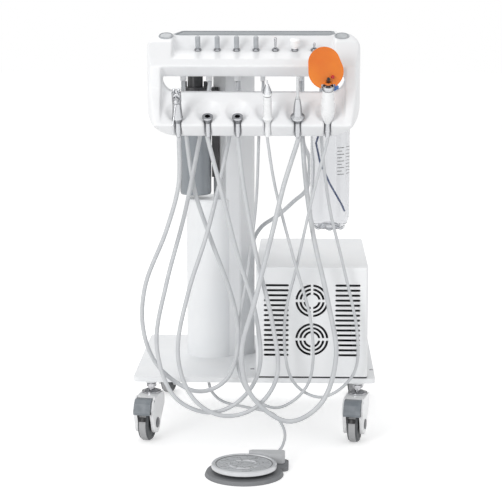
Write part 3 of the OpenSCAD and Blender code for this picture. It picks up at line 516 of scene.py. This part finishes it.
# the handle's rim entry is painted shade at its outline, and the steel one a painted dark reflection
scaler = {"holder": 3, "joint": (0.0508, 0.0528), "line": (0.1, 0.1, 0.11), "cone": 0.0575,
          "steel": (0.7, 0.71, 0.73), "steelPaintedRim": ((0.1, 0.1, 0.11), 0.2, 0.7),
          "edge": ((0.5, 0.51, 0.53), 0.45, 0.95), "rough": (0.2, 0.34, 90)}
tip = {"is": ("suctionTip", (0.66, 0.68, 0.69), 0.25), "coat": 0.3,
       "pale": (80, (0.7, 0.715, 0.725), (0.62, 0.64, 0.655)),
       "edge": ((0.32, 0.33, 0.34), 0.4, 0.9), "rough": (0.2, 0.32, 90)}


def paintWheel(node):
    # a pale tread between flanks painted dark as the shade on the shoulders and in the hood's slot
    low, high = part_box(node)
    turn = math.radians(wheel["lean"])
    axle = (math.cos(turn), math.sin(turn), 0.0)
    tyre = Paint("tyre" + node[-2:].title(), wheel["colour"], wheel["rough"])
    onShadedFlank = abs(tyre.along((low + high) / 2, axle)) > wheel["treadHalf"]
    tyre.set("Base Color", tyre.mix(onShadedFlank, tyre.mottle(*wheel["tread"]), wheel["flankShade"]))
    tyre.bump(*wheel["bump"])
    return tyre.material


def paintCoupling(index):
    # bright metal with a painted dark reflection at its outline, and painted shade inside its mouth
    metal = Paint("coupling" + str(index), *coupling["is"])
    bright = metal.polish(steelTool["colour"], *steelTool["edge"])
    foot = holderPoint(index, 0)
    # the bore of the mouth is painted near black as the shade inside it
    narrow = metal.around(foot, holderAxis) < coupling["mouth"]
    inside = narrow * (metal.along(foot, holderAxis) > coupling["deep"])
    metal.set("Base Color", metal.mix(inside, bright, coupling["inside"]))
    metal.set("Metallic", 1 - inside)
    metal.roughen(*coupling["rough"])
    return metal.material


def paintLight():
    # white body on a chrome neck, with a chrome cup and a black light guide; the chrome gets a painted dark
    # reflection at its outline
    body = Paint("lightBody", *handle["is"])
    height = body.along(holderPoint(curingLight["holder"], 0), holderAxis)
    metal = (height > curingLight["cup"]) | (height < curingLight["neck"])
    guide = height > curingLight["guide"]
    steel = body.edged(steelTool["colour"], *steelTool["edge"])
    outside = body.mix(metal, body.mottle(*handle["white"]), steel)
    body.set("Base Color", body.mix(guide, outside, curingLight["black"]))
    body.set("Metallic", metal * (1 - guide))
    body.roughen(*curingLight["rough"])
    return body.material


def paintScaler():
    # white handle with a dark joint line and a steel cone; the handle's outline gets painted shade and the
    # cone's outline a painted dark reflection
    body = Paint("scalerHandle", *handle["is"])
    height = body.along(holderPoint(scaler["holder"], 0), holderAxis)
    shaded = body.edged(body.mottle(*handle["white"]), *scaler["edge"])
    steel = body.edged(scaler["steel"], *scaler["steelPaintedRim"])
    low, high = scaler["joint"]
    white = body.mix((height > low) * (height < high), shaded, scaler["line"])
    cone = height > scaler["cone"]
    body.set("Base Color", body.mix(cone, white, steel))
    body.set("Metallic", cone)
    body.roughen(*scaler["rough"])
    return body.material


def paintTip():
    clear = Paint(*tip["is"], Coat_Weight=tip["coat"])
    # pale tip with painted shade darkening its outline
    clear.set("Base Color", clear.edged(clear.mottle(*tip["pale"]), *tip["edge"]))
    clear.roughen(*tip["rough"])
    return clear.material


for corner in ("fl", "fr", "rl", "rr"):
    dress(frame["nodes"]["caster_wheel_" + corner], paintWheel("caster_wheel_" + corner))
for index in (1, 2):
    dress(frame["nodes"]["coupling_" + str(index)], paintCoupling(index))
dress(frame["nodes"]["light_body"], paintLight())
dress(frame["nodes"]["scaler"], paintScaler())
dress(frame["nodes"]["suction_tip"], paintTip())
print("instrument finishes ready")


def addPiece(name, mesh, slot, body, finish=None):
    piece = bpy.data.objects.new(name, mesh)
    bpy.context.scene.collection.objects.link(piece)
    dress(piece, finishes[finish or slot])
    if body:
        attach(piece, body)
    return piece


def smoothLine(points, steps):
    # a line through all the points, without corners
    line = []
    last = len(points) - 1
    for i in range(last):
        before, here = points[max(i - 1, 0)], points[i]
        there, after = points[i + 1], points[min(i + 2, last)]
        for k in range(steps):
            t = k / steps
            line.append(0.5 * (2 * here + (there - before) * t
                               + (2 * before - 5 * here + 4 * there - after) * t ** 2
                               + (3 * here - before - 3 * there + after) * t ** 3))
    line.append(points[last])
    return line


def ringMesh(name, corners, sides, loop=False):
    # rings of corners joined by four-sided faces, closed by two end faces, or into a loop
    last = len(corners) - sides
    faces = []
    for start in range(0, last, sides):
        for k in range(sides):
            a, b = start + k, start + (k + 1) % sides
            faces.append((a, b, b + sides, a + sides))
    if loop:
        faces += [(last + k, last + (k + 1) % sides, (k + 1) % sides, k) for k in range(sides)]
    else:
        faces.append(tuple(reversed(range(sides))))
        faces.append(tuple(last + k for k in range(sides)))
    mesh = bpy.data.meshes.new(name)
    mesh.from_pydata(corners, [], faces)
    for face in mesh.polygons:
        face.use_smooth = len(face.vertices) == 4
    return mesh


def sweepTube(name, line, radius, sides):
    # a round tube along a line
    corners = []
    side = Vector((1, 0, 0))
    for i, point in enumerate(line):
        ahead = (line[min(i + 1, len(line) - 1)] - line[max(i - 1, 0)]).normalized()
        side = (side - ahead * side.dot(ahead)).normalized()
        across = ahead.cross(side)
        for k in range(sides):
            turn = 2 * math.pi * k / sides
            corners.append(point + radius * (math.cos(turn) * side + math.sin(turn) * across))
    return ringMesh(name, corners, sides)


def lathe(name, profile, centre, axis, sides=40, loop=False):
    # a turned piece from (distance along the axis, radius) pairs
    turn = Vector((0, 0, 1)).rotation_difference(Vector(axis)).to_matrix()
    corners = []
    for high, wide in profile:
        for k in range(sides):
            angle = 2 * math.pi * k / sides
            spoke = Vector((wide * mm * math.cos(angle), wide * mm * math.sin(angle), high * mm))
            corners.append(Vector(centre) + turn @ spoke)
    return ringMesh(name, corners, sides, loop)


# the head's moulding has rolled edges, where the frame's shell is sharp
moulding = {"grain": 1.7, "relax": 0.5, "passes": 34, "keep": 0.3}


def softenMoulding(node, facts):
    # cut into a fine grid, relaxed until every edge and dish rim is rolled over, and thinned out
    piece = frame["nodes"][node]
    grid = piece.modifiers.new("grid", "REMESH")
    grid.mode = "VOXEL"
    grid.voxel_size = facts["grain"] * mm
    grid.use_smooth_shade = True
    relax = piece.modifiers.new("relax", "SMOOTH")
    relax.factor = facts["relax"]
    relax.iterations = facts["passes"]
    thin = piece.modifiers.new("thin", "DECIMATE")
    thin.ratio = facts["keep"]


softenMoulding("head_shell", moulding)
print("moulding softened")


# each hose runs from its instrument through the route's points to its gland in the head's floor
hoses = {
    "hose_syringe": {
        "body": "syringe", "holder": 0, "thick": 8.5, "long": 1.27, "gland": (-140, 15),
        "route": [(-145, -66, 532), (-171, -60, 439), (-213, -50, 332), (-219, -42, 239), (-189, -34, 161),
                  (-119, -30, 112), (-57, -28, 133), (-31, -26, 206), (-42, -20, 297), (-88, -10, 424),
                  (-119, 0, 519), (-136, 10, 639)]},
    "hose_handpiece_1": {
        "body": "handpiece_1", "holder": 1, "thick": 8.5, "long": 1.35, "gland": (-89, 15),
        "route": [(-64, -67, 531), (-32, -64, 402), (4, -62, 281), (13, -60, 169), (-28, -58, 99),
                  (-94, -57, 75), (-162, -56, 113), (-192, -52, 215), (-172, -40, 334), (-137, -22, 468),
                  (-110, 2, 604)]},
    "hose_handpiece_2": {
        "body": "handpiece_2", "holder": 2, "thick": 8.5, "long": 1.36, "gland": (-33, 15),
        "route": [(-16, -72, 517), (8, -74, 391), (38, -76, 264), (48, -76, 157), (4, -76, 90),
                  (-66, -74, 74), (-125, -70, 116), (-149, -64, 203), (-128, -52, 318), (-90, -30, 439),
                  (-56, 0, 585)]},
    "hose_scaler": {
        "body": "scaler", "holder": 3, "thick": 6, "long": 1.3, "gland": (17, 15),
        "route": [(44, -64, 524), (78, -60, 393), (115, -54, 254), (111, -44, 136), (49, -32, 79),
                  (-14, -20, 112), (-35, -12, 197), (-14, -8, 341), (4, -4, 486), (10, 6, 633)]},
    "hose_suction": {
        "body": "suction", "holder": 4, "thick": 9.5, "long": 1.36, "gland": (90, 15),
        "route": [(60, -82, 535), (37, -88, 439), (6, -92, 315), (-21, -92, 207), (-3, -90, 120),
                  (68, -86, 66), (136, -80, 103), (164, -70, 195), (148, -54, 298), (117, -30, 434),
                  (100, -4, 558)]},
    "hose_light": {
        "body": "light", "holder": 5, "thick": 6, "long": 1.26, "gland": (131, -12),
        "route": [(118, -62, 520), (87, -46, 377), (62, -36, 255), (75, -32, 141), (137, -30, 101),
                  (200, -26, 148), (206, -22, 237), (178, -18, 366), (149, -14, 487), (133, -12, 616)]},
}
supplyHose = {
    "thick": 9, "long": 0.64, "top": (95, 250), "end": (-16, 299), "straight": 20,
    "route": [(96, 250, 596), (111, 250, 548), (106, 260, 487), (78, 275, 456), (44, 285, 424),
              (5, 294, 394), (-13, 298, 348), (-16, 299, 240)]}
pedalHose = {
    "thick": 6, "long": 0.33, "gland": (-95, 60, 122), "socket": 53, "up": 16, "in": 1.5, "tilt": 70,
    "straight": (14, 10),
    "route": [(-87, 50, 88), (-61, 24, 75), (-10, -18, 75), (37, -40, 70), (57, -54, 51), (64, -85, 38),
              (60, -115, 26)]}
hoseRun = {"steps": 8, "sides": 14, "gland": 12, "gap": 0.3, "straight": (14, 16), "bend": (-200, -50)}


def addHose(name, hose, points, body):
    # a smooth tube in place of the frame's faceted hose, with its line
    line = smoothLine(points, hoseRun["steps"])
    mesh = sweepTube(name, line, hose["thick"] / 2 * mm, hoseRun["sides"])
    tube = addPiece(name.replace("hose_", "tube_"), mesh, "hose_grey", body)
    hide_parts(name)
    return tube, line


def routeOf(hose):
    return [fromFront(*point) for point in hose["route"]]


def addInstrumentHose(name, hose):
    gap, (first, last) = hoseRun["gap"], hoseRun["straight"]
    neck = -holder["neck"]
    start = [holderPoint(hose["holder"], neck - gap), holderPoint(hose["holder"], neck - first)]
    gland = fromFront(*hose["gland"], consoleUnderside / mm - hoseRun["gland"])
    finish = [gland - Vector((0, 0, last * mm)), gland - Vector((0, 0, gap * mm))]
    tube, line = addHose(name, hose, start + routeOf(hose) + finish, None)
    still, moving = (holderPoint(hose["holder"], height) for height in hoseRun["bend"])
    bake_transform(tube)


def addSupplyHose(name, hose):
    # from the head down to the plate behind the column
    top = fromFront(*hose["top"], consoleUnderside / mm - hoseRun["gland"])
    end = fromFront(*hose["end"], plateTop / mm)
    drop = Vector((0, 0, hose["straight"] * mm))
    gap = Vector((0, 0, hoseRun["gap"] * mm))
    points = [top - gap, top - drop] + routeOf(hose) + [end + drop, end + gap]
    tube, line = addHose(name, hose, points, "unit")


def addPedalHose(name, hose):
    # from under the plate to the sloping socket of the pedal's valve box
    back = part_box("pedal_base")[1].y
    first, last = hose["straight"]
    start = fromFront(*hose["gland"])
    tilt = math.radians(hose["tilt"])
    out = Vector((0, math.sin(tilt), math.cos(tilt)))
    socket = Vector((hose["socket"] * mm, back, hose["up"] * mm)) - out * (hose["in"] * mm)
    points = [start - Vector((0, 0, hoseRun["gap"] * mm)), start - Vector((0, 0, first * mm))]
    points += routeOf(hose) + [socket + out * last * mm, socket + out * hoseRun["gap"] * mm]
    tube, line = addHose(name, hose, points, "unit")


for hoseName, hoseFacts in hoses.items():
    addInstrumentHose(hoseName, hoseFacts)
addSupplyHose("hose_supply", supplyHose)
addPedalHose("hose_pedal", pedalHose)
print("hoses ready:", len(hoses) + 2)


caster = {
    "stem": 211, "inset": 34, "deep": 400, "trail": 29, "axle": 37.5, "half": 21,
    "cap": [(0.2, 10.5), (1.2, 10.5), (2.0, 9.2), (2.2, 4)],
    "pad": {"from": 14, "to": 27, "steps": 8, "inner": 38.4, "outer": 41.4, "wide": 15.5, "round": 0.9},
}


def sweepOutline(name, outline, wide, place, rounding):
    # an outline in the caster's (ahead, up) plane, given a width along the axle and rounded edges
    shape = bmesh.new()
    sheets = [[shape.verts.new(place(side * wide / 2, ahead, high)) for ahead, high in outline]
              for side in (-1, 1)]
    shape.faces.new(sheets[0])
    shape.faces.new(list(reversed(sheets[1])))
    for i in range(len(outline)):
        j = (i + 1) % len(outline)
        shape.faces.new((sheets[0][j], sheets[0][i], sheets[1][i], sheets[1][j]))
    bmesh.ops.recalc_face_normals(shape, faces=shape.faces[:])
    bmesh.ops.bevel(shape, geom=shape.edges[:], offset=rounding * mm, segments=3, affect="EDGES",
                    clamp_overlap=True)
    mesh = bpy.data.meshes.new(name)
    shape.to_mesh(mesh)
    shape.free()
    for face in mesh.polygons:
        face.use_smooth = True
    return mesh


def casterFrame(corner):
    # the place and the turn of one caster: across along its axle, ahead of its stem, and up
    rear = corner[0] == "r"
    turn = Matrix.Rotation(math.radians(wheel["lean"] + (180 if rear else 0)), 3, "Z")
    back = caster["deep"] - caster["inset"] if rear else caster["inset"]
    stem = fromFront(caster["stem"] * (1 if corner[1] == "r" else -1), back, 0)
    return lambda across, ahead, high: stem + turn @ Vector((across * mm, ahead * mm, high * mm)), turn


def tyreArc(radius, angles):
    # points around the axle at a radius, in the caster's (ahead, up) plane
    return [(-caster["trail"] - radius * math.cos(a), caster["axle"] + radius * math.sin(a)) for a in angles]


def addCasterParts(corner):
    # an axle cover on each side, and on the front casters the rubber pad of the brake
    place, turn = casterFrame(corner)
    body = "caster_" + corner
    for side, letter in ((-1, "L"), (1, "R")):
        middle = place(side * caster["half"], -caster["trail"], caster["axle"])
        cover = lathe("axleCover_" + corner, caster["cap"], middle, turn @ Vector((side, 0, 0)))
        addPiece("axleCover_" + corner + letter, cover, "brake_grey", body, "axle_grey")
    if corner[0] == "f":
        pad = caster["pad"]
        angles = [math.radians(pad["from"] + (pad["to"] - pad["from"]) * k / pad["steps"])
                  for k in range(pad["steps"] + 1)]
        outline = tyreArc(pad["inner"], angles) + tyreArc(pad["outer"], reversed(angles))
        mesh = sweepOutline("brakePad", outline, pad["wide"], place, pad["round"])
        addPiece("brakePad_" + corner, mesh, "black_plastic", body)


for corner in ("fl", "fr", "rl", "rr"):
    addCasterParts(corner)
print("caster parts ready")


capRing = {"place": (171, -14, 818.3), "tilt": math.radians(21.1), "sides": 48,
           "shape": [(0.1, 12.2), (0.1, 14.6), (1.2, 14.4), (1.9, 13.6), (1.9, 12.6), (1.4, 12.2)]}
clip = {"up": 77.3, "from": (8, -1.2, 13), "axis": (0, -1, 0), "sides": 24,
        "shape": [(0, 2.6), (0.8, 3.3), (4, 3.4), (6, 2.6), (6.8, 1)]}
scale = {"centre": (150.8, 42), "radius": 39.5, "lift": 0.15, "from": 598, "pitch": 6.6, "rows": 9,
         "left": -70, "long": 24, "short": 16, "bold": 1.6, "right": (-38, -12), "fine": (1, 2.2), "steps": 6}
screws = {"at": (-4, 238), "depth": 26, "sides": 24, "shape": [(0, 4.2), (0.8, 4.2), (1.5, 3.2), (1.7, 0.6)]}


def wrapTick(corners, faces, start, end, low, high):
    # a thin mark on the bottle's round wall, between two angles and two heights
    first = len(corners)
    steps = scale["steps"]
    radius = scale["radius"] + scale["lift"]
    x, y = scale["centre"]
    for level in (low, high):
        for k in range(steps + 1):
            angle = math.radians(start + (end - start) * k / steps)
            corners.append(fromFront(x + radius * math.cos(angle), y + radius * math.sin(angle), level))
    for k in range(steps):
        faces.append((first + k, first + k + 1, first + steps + k + 2, first + steps + k + 1))


def addBottleScale():
    # a plain scale of bold ticks, long and short by turns, with fine ticks beside them
    corners, faces = [], []
    for row in range(scale["rows"]):
        low = scale["from"] - row * scale["pitch"]
        width = scale["short"] if row % 2 else scale["long"]
        wrapTick(corners, faces, scale["left"], scale["left"] + width, low, low + scale["bold"])
        under, over = scale["fine"]
        wrapTick(corners, faces, *scale["right"], low + under, low + over)
    mesh = bpy.data.meshes.new("bottleScale")
    mesh.from_pydata(corners, [], faces)
    addPiece("bottleScale", mesh, "black_plastic", "unit", "print_grey")


def addClip():
    # small red clip of the eye shield, beside the tip of the light guide
    foot = holderPoint(curingLight["holder"], clip["up"]) + Vector(clip["from"]) * mm
    mesh = lathe("shieldClip", clip["shape"], foot, clip["axis"], clip["sides"])
    addPiece("shieldClip", mesh, "orange_shield", "light_shield", "clip_red")


def addCapRings():
    # around the round caps on the head's two corners
    x, y, z = capRing["place"]
    axis = (0, -math.sin(capRing["tilt"]), math.cos(capRing["tilt"]))
    for side in (-1, 1):
        middle = fromFront(side * x, y, z)
        ring = lathe("capRing", capRing["shape"], middle, axis, capRing["sides"], loop=True)
        addPiece("capRing", ring, "grey_plastic", "unit")


def addScrews():
    for x in screws["at"]:
        foot = fromFront(x, screws["depth"], plateTop / mm)
        screw = lathe("plateScrew", screws["shape"], foot, upright, screws["sides"])
        addPiece("plateScrew", screw, "caster_metal", "unit")


addCapRings()
addBottleScale()
addClip()
addScrews()
print("small parts ready")


print("pieces done")
